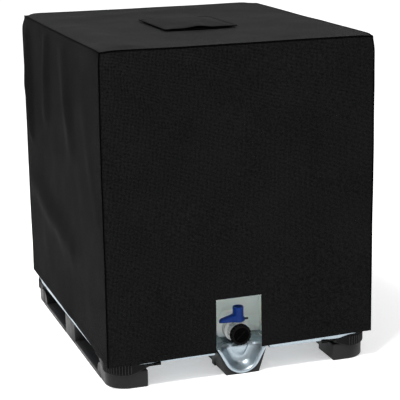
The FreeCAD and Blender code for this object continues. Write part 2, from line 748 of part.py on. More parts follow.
def cover_panels():
    """Five flat fabric panels that stop short of the box edges, where the piping runs.
    The front one's notch reaches further to the left, where the valve's lever swings."""
    wide = "(cover_width / 2 - piping)"
    deep = "(cover_depth / 2 - piping)"
    inner_x = "(cover_width / 2 - fabric)"
    inner_y = "(cover_depth / 2 - fabric)"
    high = "cover_top - piping"
    front = new_body("cover_front_panel")
    outline = polygon(front, "front_panel_outline", "XZ_Plane", [
        ("-" + wide, "hem_height"), ("-notch_left", "hem_height"), ("-notch_left", "notch_top"),
        ("notch_right", "notch_top"), ("notch_right", "hem_height"), (wide, "hem_height"),
        (wide, high), ("-" + wide, high)], inner_y)
    pad(front, outline, "fabric")
    node(front)
    rear = new_body("cover_rear_panel")
    pad(rear, rectangle(rear, "rear_panel_outline", "XZ_Plane", ("-" + wide, "hem_height"),
                        (wide, high), "-" + inner_y), "fabric", back=True)
    node(rear)
    for side, offset in (("left", "-" + inner_x), ("right", inner_x)):
        panel = new_body(f"cover_{side}_panel")
        outline = rectangle(panel, side + "_panel_outline", "YZ_Plane", ("-" + deep, "hem_height"),
                            (deep, high), offset)
        pad(panel, outline, "fabric", back=side == "left")
        node(panel)
    top = new_body("cover_top_panel")
    pad(top, rectangle(top, "top_panel_outline", "XY_Plane", ("-" + wide, "-" + deep),
                       (wide, deep), "cover_top - fabric"), "fabric")
    hole = circle(top, "fill_hole_outline", "XY_Plane", (0, 0), "fill_hole", "cover_top + overrun")
    pocket(top, hole, "fabric + 2 * overrun")
    node(top)


def cover_piping():
    """Cord sewn into the box edges: a loop round the top and one down each corner."""
    line_x = "(cover_width / 2 - piping / 2)"
    line_y = "(cover_depth / 2 - piping / 2)"
    height = "cover_top - piping / 2"

    def section(body, name):
        return circle(body, name, "XZ_Plane", (line_x, height), "piping")

    pieces = [ring("piping_top", line_x, line_y, "piping_bend", height, section)]
    for corner, (x_side, y_side, _) in QUARTERS.items():
        pieces.append(cylinder("piping_" + corner, "piping", "cover_top - piping - hem_height",
                               (f"{x_side} * {line_x}", f"{y_side} * {line_y}", "hem_height")))
    node(group("cover_piping", pieces))


def flap():
    """Flap over the fill hole, sewn along its rear edge and held by hook and loop strips."""
    body = new_body("cover_flap", (0, 0, "cover_top + 2 * strip"))
    pad(body, rectangle(body, "flap_outline", "XY_Plane", ("-flap_half", "-flap_front"),
                        ("flap_half", "flap_rear")), "fabric")
    round_edges(body, "flap_corners", "flap_corner",
                lambda edge: along(edge, 2) and edge.CenterOfMass[1] < 0)
    node(body)
    for layer, name in enumerate(("flap_loop_strip", "flap_hook_strip")):
        node(box(name, ("-strip_half", "strip_inset - flap_front", f"cover_top + {layer} * strip"),
                 ("2 * strip_half", "strip_width", "strip")))


# ---------------------------------------------------------------- build, check and write

def check():
    """Stop if any object failed, or if a sub-part has no good shape."""
    doc.recompute()
    for item in doc.Objects:
        if "Invalid" in item.State or "Error" in item.State:
            raise RuntimeError(f"{item.Label}: {item.State}")
    for piece in SUBPARTS:
        if piece.Shape.isNull() or not piece.Shape.isValid() or not piece.Shape.Solids:
            raise RuntimeError(piece.Label + " has no valid solid")


def write():
    os.makedirs("parts", exist_ok=True)
    for piece in SUBPARTS:
        piece.Shape.exportStep(f"parts/{piece.Label}.step")
        bounds = piece.Shape.BoundBox
        print(f"{piece.Label}: {len(piece.Shape.Solids)} solid(s), {piece.Shape.Volume:.0f} mm3, "
              f"x {bounds.XMin:.1f}..{bounds.XMax:.1f} y {bounds.YMin:.1f}..{bounds.YMax:.1f} "
              f"z {bounds.ZMin:.1f}..{bounds.ZMax:.1f}")


corner_pieces()
front_trough()
pallet_centre()
skids()
deck()
bottle()
fill_lid()
valve_fixed()
valve_moving()
outlet_cap()
cage_rings()
cage_uprights()
cage_top()
cover_panels()
cover_piping()
flap()
check()
write()
print(len(SUBPARTS), "sub-parts")
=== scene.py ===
from math import copysign, cos, dist, exp, hypot, pi, radians, sin, sqrt

import bmesh
import bpy
from mathutils import Matrix, Vector, noise


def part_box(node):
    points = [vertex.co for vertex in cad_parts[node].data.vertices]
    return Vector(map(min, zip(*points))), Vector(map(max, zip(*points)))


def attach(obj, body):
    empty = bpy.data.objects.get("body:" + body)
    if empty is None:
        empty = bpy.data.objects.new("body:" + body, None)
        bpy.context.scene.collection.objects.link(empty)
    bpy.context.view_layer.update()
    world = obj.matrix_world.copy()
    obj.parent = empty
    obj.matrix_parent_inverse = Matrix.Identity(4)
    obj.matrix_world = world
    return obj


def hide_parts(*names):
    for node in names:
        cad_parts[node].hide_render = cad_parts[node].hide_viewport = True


# Looks of an intermediate bulk container under a fitted fabric cover.
# Metres. +Z is up, -Y is the valve's side, the origin is on the floor under the middle of the pallet.
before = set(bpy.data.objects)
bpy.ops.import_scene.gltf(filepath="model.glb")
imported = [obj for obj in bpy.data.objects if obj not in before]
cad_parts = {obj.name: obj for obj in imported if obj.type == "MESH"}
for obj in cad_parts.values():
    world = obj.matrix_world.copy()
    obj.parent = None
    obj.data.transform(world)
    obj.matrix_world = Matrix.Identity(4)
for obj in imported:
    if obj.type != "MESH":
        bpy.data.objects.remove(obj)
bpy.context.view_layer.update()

# camera
CAMERA_PLACE = (-1.671, -5.134, 1.855)
CAMERA_YAW = 18.5          # degrees to the right of +Y
CAMERA_PITCH = -13.99      # degrees above the horizon
CAMERA_ROLL = -0.97        # degrees that the camera's right side is lifted
CAMERA_LENS = 127.5        # millimetres
CAMERA_SENSOR = 36         # millimetres

# cover
FABRIC = 0.0016            # thickness
PIPING_RADIUS = 0.0029
HEM_BAND = 0.026           # height of the turned-up hem
LEFT_HEM_ARCH = 0.006      # how much higher the left hem rides in its middle
HEM_HEIGHTS = {"front_left": 0.091, "front_right": 0.104, "rear_right": 0.110, "rear_left": 0.116}
GRID = 0.011               # spacing of the fabric's mesh
STITCH = 0.0062            # pitch of the stitches
THREAD_PERIOD = 0.0026     # of the fine weave
TWILL_PERIOD = 0.0094      # of the coarse diagonal weave
CORNERS = {"front_left": (-1, -1), "front_right": (1, -1), "rear_right": (1, 1), "rear_left": (-1, 1)}


# ---------------- materials

class Look:
    """A material and its node tree, with short ways to add nodes."""

    def __init__(self, name, **values):
        self.material = bpy.data.materials.new(name)
        self.material.use_nodes = True
        self.tree = self.material.node_tree
        self.shader = self.tree.nodes["Principled BSDF"]
        self.coords = self.add("ShaderNodeTexCoord").outputs["Object"]
        for socket, value in values.items():
            self.shader.inputs[socket.replace("_", " ")].default_value = value

    def add(self, kind, inputs=(), **settings):
        node = self.tree.nodes.new(kind)
        for key, value in settings.items():
            setattr(node, key, value)
        for key, value in dict(inputs).items():
            self.feed(node.inputs[key], value)
        return node

    def feed(self, socket, value):
        if isinstance(value, bpy.types.NodeSocket):
            self.tree.links.new(value, socket)
        else:
            socket.default_value = value

    def math(self, operation, first, second=0.0):
        return self.add("ShaderNodeMath", {0: first, 1: second}, operation=operation).outputs[0]

    def scaled(self, factors):
        """The object's coordinates times three factors."""
        node = self.add("ShaderNodeVectorMath", {0: self.coords, 1: factors}, operation="MULTIPLY")
        return node.outputs[0]

    def noise(self, scale, detail=3.0, factors=None):
        vector = self.scaled(factors) if factors else self.coords
        return self.add("ShaderNodeTexNoise", {"Vector": vector, "Scale": scale, "Detail": detail}).outputs[0]

    def span(self, value, low, high, to_low=0.0, to_high=1.0):
        """Value, from low to high, mapped to another range and clamped."""
        node = self.add("ShaderNodeMapRange", {"Value": value, "From Min": low, "From Max": high,
                                               "To Min": to_low, "To Max": to_high})
        return node.outputs[0]

    def mix(self, factor, first, second):
        """A colour between two."""
        node = self.add("ShaderNodeMix", data_type="RGBA")
        for socket, value in ((node.inputs[0], factor), (node.inputs[6], first), (node.inputs[7], second)):
            self.feed(socket, (*value, 1) if isinstance(value, tuple) else value)
        return node.outputs[2]

    def colour(self, value):
        self.feed(self.shader.inputs["Base Color"], value)

    def rough(self, value):
        self.feed(self.shader.inputs["Roughness"], value)

    def bump(self, height, distance, strength=1.0):
        node = self.add("ShaderNodeBump", {"Height": height, "Distance": distance, "Strength": strength})
        self.feed(self.shader.inputs["Normal"], node.outputs[0])


def fabric_look(name, axes, dark, light, gloss):
    """Coated woven cloth. axes are the two object axes that its threads follow."""
    look = Look(name, Specular_IOR_Level=gloss)
    split = look.add("ShaderNodeSeparateXYZ", {0: look.coords})
    along, up = (split.outputs["XYZ".index(axis)] for axis in axes)
    turn = 2 * pi

    def wave(value, period):
        return look.math("SINE", look.math("MULTIPLY", value, turn / period))

    # a fine weave for the bump, and two crossed diagonals for the tone
    threads = look.math("MULTIPLY", wave(along, THREAD_PERIOD), wave(up, THREAD_PERIOD))
    twill = wave(look.math("ADD", along, up), TWILL_PERIOD)
    cross = wave(look.math("SUBTRACT", along, up), TWILL_PERIOD)
    weave = look.math("MULTIPLY", twill, cross)
    grain = look.noise(150.0, 3.0)
    cloudy = look.noise(5.0, 4.0)
    tone = look.math("ADD", look.math("MULTIPLY", weave, 0.75), look.math("MULTIPLY", grain, 1.5))
    tone = look.math("ADD", tone, look.math("MULTIPLY", cloudy, 0.5))
    look.colour(look.mix(look.span(tone, 0.45, 1.55), dark, light))
    look.rough(look.span(cloudy, 0.3, 0.7, 0.62, 0.76))
    height = look.math("ADD", look.math("MULTIPLY", threads, 0.5), look.math("MULTIPLY", twill, 0.5))
    look.bump(look.math("ADD", height, grain), 0.0006, 0.55)
    return look.material


def tape_look(name, dark, light):
    """Narrow woven tape or thread."""
    look = Look(name, Specular_IOR_Level=0.02)
    grain = look.noise(900.0, 2.0)
    look.colour(look.mix(grain, dark, light))
    look.rough(look.span(grain, 0.3, 0.7, 0.7, 0.85))
    look.bump(grain, 0.0004, 0.5)
    return look.material


def zinc_look(name, dark, light, crystal=55.0):
    """Galvanised sheet: zinc crystals, faint streaks and dull patches."""
    look = Look(name, Metallic=1.0)
    cells = look.add("ShaderNodeTexVoronoi", {"Vector": look.coords, "Scale": crystal})
    crystals = look.add("ShaderNodeSeparateColor", {0: cells.outputs["Color"]}).outputs[0]
    dull = look.noise(9.0, 5.0)
    streaks = look.noise(60.0, 3.0, (1.0, 1.0, 0.12))
    tone = look.math("ADD", look.math("MULTIPLY", crystals, 0.35), look.math("MULTIPLY", dull, 0.65))
    look.colour(look.mix(tone, dark, light))
    look.rough(look.span(look.math("ADD", dull, look.math("MULTIPLY", crystals, 0.3)), 0.3, 1.0, 0.22, 0.5))
    look.bump(look.math("ADD", streaks, look.math("MULTIPLY", crystals, 0.3)), 0.0004, 0.35)
    return look.material


def moulded_look(name, dark, light, rough=(0.35, 0.6), pebble=0.0005, edge_wear_and_highlight=0.012, **values):
    """Moulded plastic: a fine pebble, colour that clouds a little, and lighter edges that are partly wear and
    partly a painted highlight.
    """
    look = Look(name, **values)
    cloudy = look.noise(14.0, 5.0)
    pebbles = look.noise(520.0, 2.0)
    # painted highlight: convex edges and rib crests are lightened by their pointiness, partly as wear and
    # partly standing in for glints
    edge_pointiness = look.add("ShaderNodeNewGeometry").outputs["Pointiness"]
    edge = look.span(look.math("ADD", edge_pointiness, look.math("MULTIPLY", pebbles, 0.06)), 0.545, 0.60)
    body = look.mix(look.span(cloudy, 0.3, 0.7), dark, light)
    # the lightened edge colour is part wear and part painted highlight
    worn_and_highlit_edge = tuple(min(1.0, 1.9 * value + edge_wear_and_highlight) for value in light)
    look.colour(look.mix(look.math("MULTIPLY", edge, 0.6), body, worn_and_highlit_edge))
    look.rough(look.span(cloudy, 0.3, 0.7, *rough))
    look.bump(pebbles, pebble, 0.4)
    return look.material


def milky_look(name, dark, light):
    """Unpigmented polyethylene: milky, waxy, with faint flow lines, and a faint painted glow that stands in
    for light passing through its wall.
    """
    # painted glow: a faint emission brightens the bottle as if lit through its wall
    look = Look(name, Subsurface_Weight=0.25, Subsurface_Scale=0.02, Coat_Weight=0.15, Coat_Roughness=0.25,
                Emission_Color=(0.86, 0.92, 0.88, 1), Emission_Strength=0.04)
    flow = look.noise(7.0, 4.0, (1.0, 1.0, 0.3))
    skin = look.noise(160.0, 2.0)
    look.colour(look.mix(look.span(flow, 0.3, 0.7), dark, light))
    look.rough(look.span(flow, 0.3, 0.7, 0.26, 0.42))
    look.bump(look.math("ADD", flow, look.math("MULTIPLY", skin, 0.2)), 0.002, 0.25)
    return look.material


LOOKS = {
    # one cloth in three copies: the top copy is painted lighter as painted light, the side copy painted
    # darker as painted shade, than the front
    "front_cloth": fabric_look("cloth_front", "XZ", (0.0006, 0.0006, 0.0007), (0.0122, 0.0122, 0.0124),
                               0.015),
    "side_cloth_painted_shade": fabric_look("cloth_side_painted_shade", "YZ", (0.0003, 0.0003, 0.0004), (0.0098, 0.0098, 0.0100),
                              0.012),
    "top_cloth": fabric_look("cloth_top_painted_light", "XY", (0.0030, 0.0030, 0.0031), (0.0230, 0.0230, 0.0232),
                             0.03),
    "piping": tape_look("piping_tape", (0.0003, 0.0003, 0.0003), (0.0008, 0.0008, 0.0009)),
    "thread": tape_look("thread", (0.006, 0.006, 0.0065), (0.016, 0.016, 0.017)),
    "hook": tape_look("hook_and_loop_tape", (0.003, 0.003, 0.003), (0.02, 0.02, 0.02)),
    "zinc": zinc_look("galvanised", (0.26, 0.315, 0.35), (0.48, 0.55, 0.60)),
    "fastener": zinc_look("zinc_plated", (0.45, 0.45, 0.46), (0.75, 0.75, 0.76), 400.0),
    "pallet": moulded_look("pallet_black", (0.0045, 0.0045, 0.0048), (0.0095, 0.0095, 0.010),
                           Specular_IOR_Level=0.16),
    # black guard; its larger edge value lightens the rib crests as a painted highlight as well as wear
    "guard": moulded_look("guard_black", (0.0010, 0.0010, 0.0011), (0.0026, 0.0026, 0.0028), edge_wear_and_highlight=0.024,
                          Specular_IOR_Level=0.10),
    "bottle": milky_look("bottle_milky_painted_glow", (0.76, 0.81, 0.78), (0.85, 0.89, 0.86)),
    "nut": moulded_look("nut_natural", (0.55, 0.58, 0.56), (0.68, 0.70, 0.68)),
    "valve": moulded_look("valve_natural", (0.50, 0.53, 0.51), (0.64, 0.67, 0.65)),
    "disc": moulded_look("disc_natural", (0.50, 0.52, 0.50), (0.62, 0.63, 0.61)),
    "lever": moulded_look("lever_blue", (0.0008, 0.018, 0.130), (0.0016, 0.027, 0.175), (0.28, 0.42), 0.0002,
                          Specular_IOR_Level=0.12),
    # near-black cap; its edge value lightens the grip ribs as a painted highlight as well as wear
    "cap": moulded_look("cap_black", (0.0005, 0.0005, 0.0006), (0.0012, 0.0012, 0.0013), (0.22, 0.36),
                        edge_wear_and_highlight=0.02, Specular_IOR_Level=0.01),
    "rubber": moulded_look("seal_rubber", (0.012, 0.012, 0.012), (0.022, 0.022, 0.022), (0.7, 0.85)),
    "screw": moulded_look("dark_screw", (0.008, 0.008, 0.009), (0.018, 0.018, 0.02), (0.3, 0.45),
                          Metallic=0.6),
}


# ---------------- mesh helpers

def new_piece(name, points, faces, look, body, slot, smooth=True):
    """A mesh object that rides on a body and takes its material from a look; slot is not used."""
    mesh = bpy.data.meshes.new(name)
    mesh.from_pydata([tuple(point) for point in points], [], faces)
    mesh.validate()
    piece = bpy.data.objects.new(name, mesh)
    bpy.context.scene.collection.objects.link(piece)
    return dress(piece, look, body, smooth)


def dress(piece, look, body, smooth=True):
    """Gives a piece its material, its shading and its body."""
    piece.data.materials.clear()
    piece.data.materials.append(LOOKS[look])
    for face in piece.data.polygons:
        face.use_smooth = smooth
    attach(piece, body)
    return piece


def modify(piece, kind, **settings):
    modifier = piece.modifiers.new(kind.lower(), kind)
    for key, value in settings.items():
        setattr(modifier, key, value)


def grid_faces(columns, rows, keep=None, wrap=False):
    """Quads of a grid whose points run along the columns first."""
    faces = []
    for row in range(rows - 1):
        for column in range(columns if wrap else columns - 1):
            if keep and not keep(column, row):
                continue
            after = (column + 1) % columns
            faces.append((row * columns + column, row * columns + after,
                          (row + 1) * columns + after, (row + 1) * columns + column))
    return faces


def rework(mesh, change):
    """Runs a change on a mesh, as a bmesh."""
    work = bmesh.new()
    work.from_mesh(mesh)
    change(work)
    work.to_mesh(mesh)
    work.free()


def face_outward(work):
    bmesh.ops.recalc_face_normals(work, faces=work.faces)


def merge(work, distance=1e-5):
    bmesh.ops.remove_doubles(work, verts=work.verts, dist=distance)


def flatten(work):
    """Makes flat faces whole again, from their triangles."""
    merge(work, 2e-5)
    bmesh.ops.dissolve_limit(work, angle_limit=radians(1.5), verts=work.verts, edges=work.edges)


def softened(node, look, body, bevel=0.0025, segments=2, name=None):
    """A piece with the shape of a CAD node and rounded edges, which stands for that node."""
    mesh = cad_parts[node].data.copy()
    rework(mesh, flatten)
    piece = bpy.data.objects.new(name or node + "_look", mesh)
    bpy.context.scene.collection.objects.link(piece)
    dress(piece, look, body)
    modify(piece, "BEVEL", width=bevel, segments=segments, limit_method="ANGLE",
           angle_limit=radians(32), harden_normals=True)
    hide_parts(node)


def kept(node, look):
    """A CAD node that stays, with a better material."""
    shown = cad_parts[node]
    shown.data.materials.clear()
    shown.data.materials.append(LOOKS[look])
    for face in shown.data.polygons:
        face.use_smooth = True


def tube_points(path, radius, closed, sides=10):
    """Points of rings round a path, and the faces between them."""
    points, count = [], len(path)
    for index, place in enumerate(path):
        before = path[index - 1] if index or closed else place
        after = path[(index + 1) % count] if closed or index + 1 < count else place
        forward = (after - before).normalized()
        side = forward.cross(Vector((0.31, 0.17, 0.94))).normalized()
        lift = side.cross(forward)
        for step in range(sides):
            turn = 2 * pi * step / sides
            points.append(place + radius * (cos(turn) * side + sin(turn) * lift))
    faces = grid_faces(sides, count, wrap=True)
    if closed:
        last = (count - 1) * sides
        faces += [(last + step, last + (step + 1) % sides, (step + 1) % sides, step) for step in range(sides)]
    else:
        faces += [tuple(range(sides))[::-1], tuple(range((count - 1) * sides, count * sides))]
    return points, faces


def joined(parts):
    """Several (points, faces) as one."""
    points, faces = [], []
    for some_points, some_faces in parts:
        start = len(points)
        points += list(some_points)
        faces += [tuple(start + corner for corner in face) for face in some_faces]
    return points, faces


def lathe(outline, sides, place, turn=None, ripple=None):
    """(points, faces) of an outline of (radius, height) pairs turned round an axis.
    ripple(index, angle) is added to the radius of outline point index."""
    turn = turn or Matrix.Identity(3)
    points = []
    for index, (radius, height) in enumerate(outline):
        for step in range(sides):
            angle = 2 * pi * step / sides
            reach = radius + (ripple(index, angle) if ripple else 0.0)
            points.append(Vector(place) + turn @ Vector((reach * cos(angle), reach * sin(angle), height)))
    faces = grid_faces(sides, len(outline), wrap=True)
    return points, faces


def smooth_step(value):
    """0 below 0, 1 above 1, and a smooth rise between."""
    value = min(1.0, max(0.0, value))
    return value * value * (3 - 2 * value)


# ---------------- cover

SEAM_X, SEAM_Y, SEAM_Z = 0.5035, 0.6035, 1.2025      # where the panels' seams run
CAD_HEM, NOTCH_TOP, NOTCH_LEFT, NOTCH_RIGHT = 0.116, 0.294, 0.103, 0.071
NOTCH_STITCHES, HEM_END = 0.0145, 0.006              # stitches' distance from the notch and the corners
HOLE_RADIUS, HOLE_HALF, HOLE_BLEND = 0.100, 0.086, 0.165
DEEPEST = -0.0022                                    # the furthest that cloth may sink in
CORNER_PULL, FAR_CORNER_PULL, CORNER_ROUND = 0.0045, 0.0095, 0.032    # how the top's corners are drawn in
FOLD_GAIN, FOLD_REACH = 2.1, 3.2                     # times each height, and where it ends, in half widths

# Soft folds: panel -> (from across, from up, to across, to up, half width, height), in metres on the panel.
FOLDS = {
    "front": [(-0.47, 1.16, -0.22, 0.92, 0.029, 0.0118), (-0.22, 1.185, 0.06, 0.985, 0.031, 0.0118),
              (0.06, 0.985, 0.46, 0.955, 0.040, 0.0085), (-0.36, 0.62, 0.02, 0.55, 0.070, 0.0030),
              (0.20, 0.74, 0.46, 0.66, 0.060, 0.0025), (-0.49, 0.36, -0.20, 0.30, 0.050, 0.0025)],
    "left": [(-0.52, 1.12, -0.50, 0.74, 0.034, 0.0108), (-0.52, 0.54, 0.12, 0.40, 0.060, 0.0100),
             (0.10, 1.12, 0.16, 0.80, 0.055, 0.0075), (-0.16, 1.16, -0.22, 0.86, 0.045, 0.0085),
             (0.38, 0.95, 0.52, 0.62, 0.050, 0.0030)],
    "right": [(-0.52, 1.14, -0.18, 0.90, 0.040, 0.0070), (0.02, 1.12, 0.42, 0.94, 0.045, 0.0055),
              (-0.40, 0.52, 0.16, 0.44, 0.055, 0.0035)],
    "rear": [(0.46, 1.15, 0.16, 0.88, 0.040, 0.0075), (-0.44, 1.16, -0.10, 0.98, 0.042, 0.0065),
             (-0.30, 0.60, 0.24, 0.50, 0.060, 0.0035)],
    "top": [(-0.40, -0.52, -0.42, 0.04, 0.070, 0.0080), (0.24, -0.48, 0.42, 0.10, 0.060, 0.0040),
            (-0.34, 0.36, 0.18, 0.46, 0.070, 0.0045)],
}
PANELS = {
    "front": (Vector((1, 0, 0)), Vector((0, 0, 1)), Vector((0, -SEAM_Y, 0)), SEAM_X),
    "rear": (Vector((-1, 0, 0)), Vector((0, 0, 1)), Vector((0, SEAM_Y, 0)), SEAM_X),
    "left": (Vector((0, -1, 0)), Vector((0, 0, 1)), Vector((-SEAM_X, 0, 0)), SEAM_Y),
    "right": (Vector((0, 1, 0)), Vector((0, 0, 1)), Vector((SEAM_X, 0, 0)), SEAM_Y),
    "top": (Vector((1, 0, 0)), Vector((0, 1, 0)), Vector((0, 0, SEAM_Z)), SEAM_X),
}


def ripple_at(place, scale, seed):
    """A smooth random value at a place. A larger scale makes it finer."""
    return noise.noise(Vector((place.x * scale + seed, place.y * scale - seed, place.z * scale + 2 * seed)))


def hem_height(place):
    """Height of the hem below a place, from the four corners' heights."""
    across = 0.5 + place.x / (2 * SEAM_X)
    back = 0.5 + place.y / (2 * SEAM_Y)
    front = HEM_HEIGHTS["front_left"] * (1 - across) + HEM_HEIGHTS["front_right"] * across
    rear = HEM_HEIGHTS["rear_left"] * (1 - across) + HEM_HEIGHTS["rear_right"] * across
    arch = LEFT_HEM_ARCH * (1 - across) * sin(pi * min(1.0, max(0.0, back)))
    return front * (1 - back) + rear * back + arch + 0.0014 * ripple_at(place, 6.0, 9.1)


def settle(place):
    """Moves a point of the cover's plain box to where the sewn cover hangs. Panels and piping share it."""
    moved = place.copy()
    # the hem hangs at the corners' heights, and that shift fades out up to the notch's top
    low = max(0.0, (NOTCH_TOP - place.z) / (NOTCH_TOP - CAD_HEM))
    moved.z += (hem_height(place) - CAD_HEM) * low
    up = place.z / SEAM_Z
    moved.x += 0.0020 * ripple_at(place, 2.6, 3.7) + 0.0008 * ripple_at(place, 9.0, 5.3)
    moved.y += 0.0020 * ripple_at(place, 2.4, 7.9) + 0.0008 * ripple_at(place, 8.0, 1.3)
    # the top sags a little inside its edges, and its edges between the corners
    if up > 0.98:
        edge = min(SEAM_X - abs(place.x), SEAM_Y - abs(place.y))
        sag = (1 - (place.x / SEAM_X) ** 2) * (1 - (place.y / SEAM_Y) ** 2) if edge > 0.02 else 0.0
        along = max(1 - (place.x / SEAM_X) ** 2, 1 - (place.y / SEAM_Y) ** 2)
        moved.z -= 0.0022 * along + 0.001 * sag
        moved.z += 0.0012 * ripple_at(place, 5.0, 2.2)
    # the top's corners are drawn in
    for name, (side_x, side_y) in CORNERS.items():
        corner = Vector((side_x * SEAM_X, side_y * SEAM_Y, SEAM_Z))
        reach = (place - corner).length
        if reach < 5 * CORNER_ROUND:
            pull = FAR_CORNER_PULL if name == "rear_left" else CORNER_PULL
            pull *= exp(-(reach / CORNER_ROUND) ** 2)
            moved -= pull * Vector((side_x, side_y, 1.0))
    return moved


def fold_height(name, across, up):
    """How far a panel's folds stand out at a place, before they fade at its seams."""
    total = 0.0
    for x0, z0, x1, z1, width, height in FOLDS[name]:
        run = Vector((x1 - x0, z1 - z0))
        away = Vector((across - x0, up - z0))
        share = away.dot(run) / run.length_squared
        inside = min(1.0, max(0.0, share))
        reach = (away - inside * run).length / width
        if reach < FOLD_REACH:
            bend = 1.0 - 0.45 * abs(2 * inside - 1)
            total += FOLD_GAIN * height * bend * exp(-reach * reach)
    return total


def seam_distance(name, across, up):
    """Distance from a place on a panel to its nearest sewn edge."""
    half = PANELS[name][3]
    if name == "top":
        return min(half - abs(across), SEAM_Y - abs(up))
    return min(half - abs(across), SEAM_Z - up)


def panel_point(name, across, up):
    """A point of the cover's outer face."""
    right, above, middle, half = PANELS[name]
    outward = right.cross(above)
    plain = middle + across * right + up * above
    gap = max(0.0, seam_distance(name, across, up))
    window = smooth_step(gap / 0.060)
    out = 0.0016 * smooth_step(gap / 0.007)
    # folds and slack
    out += window * (fold_height(name, across, up) + 0.0022 * ripple_at(plain, 3.1, 4.4)
                     + 0.0011 * ripple_at(plain, 9.5, 6.1))
    # puckers along the seam
    run = up if half - abs(across) < gap + 1e-6 else across
    pucker = sin(2 * pi * run / 0.024 + 2.5 * ripple_at(plain, 12.0, 8.8))
    out += 0.00075 * exp(-gap / 0.011) * smooth_step(gap / 0.004) * pucker
    # the hem flares a little, is two layers thick, and has a groove at its stitches
    if name != "top":
        over_hem = up - CAD_HEM
        out += 0.0016 * exp(-(over_hem / 0.09) ** 2) * (1 + ripple_at(plain, 7.0, 1.9))
        out += 0.0007 * (1 - smooth_step((over_hem - HEM_BAND) / 0.0035))
        out -= 0.0006 * exp(-((over_hem - HEM_BAND + 0.004) / 0.0022) ** 2)
    if name == "front":
        side, top = max(-NOTCH_LEFT - across, across - NOTCH_RIGHT), up - NOTCH_TOP
        from_notch = max(side, top) if up < NOTCH_TOP + 0.05 else top
        if 0 <= from_notch < 0.06 and side < 0.06:
            out += 0.0007 * (1 - smooth_step((from_notch - 0.018) / 0.0035))
            out -= 0.0006 * exp(-((from_notch - NOTCH_STITCHES) / 0.0022) ** 2)
    if name == "top":
        lid = hypot(across, up)
        out += 0.0010 * exp(-(lid / 0.16) ** 2)
        out = min(out, 0.0016) if abs(across) < 0.15 and -0.2 < up < 0.16 else out
    return settle(plain + max(DEEPEST, out) * outward)


def steps(low, high, fine, coarse, margin=0.028):
    """Rising values from low to high, closer together near both ends."""
    values, place = [low], low
    while high - place > 1.5 * fine:
        near = min(place - low, high - place)
        place += fine if near < margin else coarse
        values.append(min(place, high - fine))
    values[-1] = high - fine if high - values[-1] < 0.5 * fine else values[-1]
    return sorted(set(round(value, 6) for value in values + [high]))


def spans(stops, fine=0.0042):
    """Rising values through all the stops, closer together near each."""
    values = []
    for low, high in zip(stops, stops[1:]):
        values += steps(low, high, fine, GRID)
    return sorted(set(values))


def cloth(name, points, faces, look, body):
    """A piece of the cover's fabric: a surface with a thickness, inwards."""
    piece = new_piece(name, points, faces, look, body, "cover_fabric")
    modify(piece, "SOLIDIFY", thickness=FABRIC, offset=-1.0, use_rim=True)
    return piece


def make_panel(name):
    """One of the cover's panels, with its notch or its hole."""
    half = PANELS[name][3]
    notched = name == "front"
    if name == "top":
        columns = spans([-half, -HOLE_BLEND, -HOLE_HALF, HOLE_HALF, HOLE_BLEND, half])
        rows = spans([-SEAM_Y, -HOLE_BLEND, -HOLE_HALF, HOLE_HALF, HOLE_BLEND, SEAM_Y])
    else:
        columns = spans([-half, -NOTCH_LEFT, NOTCH_RIGHT, half] if notched else [-half, half])
        rows = spans([CAD_HEM, NOTCH_TOP, SEAM_Z] if notched else [CAD_HEM, SEAM_Z])

    def inside(column, row):
        across = (columns[column] + columns[column + 1]) / 2
        up = (rows[row] + rows[row + 1]) / 2
        if notched:
            return not -NOTCH_LEFT < across < NOTCH_RIGHT or up > NOTCH_TOP
        return name != "top" or max(abs(across), abs(up)) > HOLE_HALF

    points = []
    for up in rows:
        for across in columns:
            reach = max(abs(across), abs(up))
            x, y = across, up
            if name == "top" and reach < HOLE_BLEND:
                share = smooth_step((reach - HOLE_HALF) / (HOLE_BLEND - HOLE_HALF))
                length = hypot(across, up) or 1.0
                circle = reach * (HOLE_RADIUS / HOLE_HALF) / length
                x, y = (value * (share + (1 - share) * circle) for value in (across, up))
            points.append(panel_point(name, x, y))
    faces = grid_faces(len(columns), len(rows), inside)
    used = sorted({corner for face in faces for corner in face})
    number = {old: new for new, old in enumerate(used)}
    # the top takes the painted-light copy of the cloth, the left and right panels the painted-shade copy
    look = {"top": "top_cloth", "left": "side_cloth_painted_shade", "right": "side_cloth_painted_shade"}.get(name, "front_cloth")
    piece = cloth(f"{name}_cloth", [points[old] for old in used],
                  [tuple(number[corner] for corner in face) for face in faces], look, "cover")
    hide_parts(f"cover_{name}_panel")
    return piece


def stitch_row(points_at, count, length=0.0040, radius=0.00042):
    """Short threads along a path. points_at(share) gives a point and the outward direction."""
    parts = []
    for index in range(count):
        here, outward = points_at((index + 0.15) / count)
        there, _ = points_at((index + 0.15) / count + 0.65 / count)
        lift = 0.0005 * outward
        middle = (here + there) / 2 + 1.4 * lift
        parts.append(tube_points([here - 0.3 * lift, here + 0.6 * lift, middle, there + 0.6 * lift,
                                  there - 0.3 * lift], radius, False, 5))
    return joined(parts)


def panel_row(name, start, end, pitch=STITCH):
    """Stitches on a panel between two places of it."""
    outward = PANELS[name][0].cross(PANELS[name][1])

    def at(share):
        return panel_point(name, *(a + share * (b - a) for a, b in zip(start, end))), outward

    return stitch_row(at, max(2, round(dist(start, end) / pitch)))


panels = {name: make_panel(name) for name in PANELS}

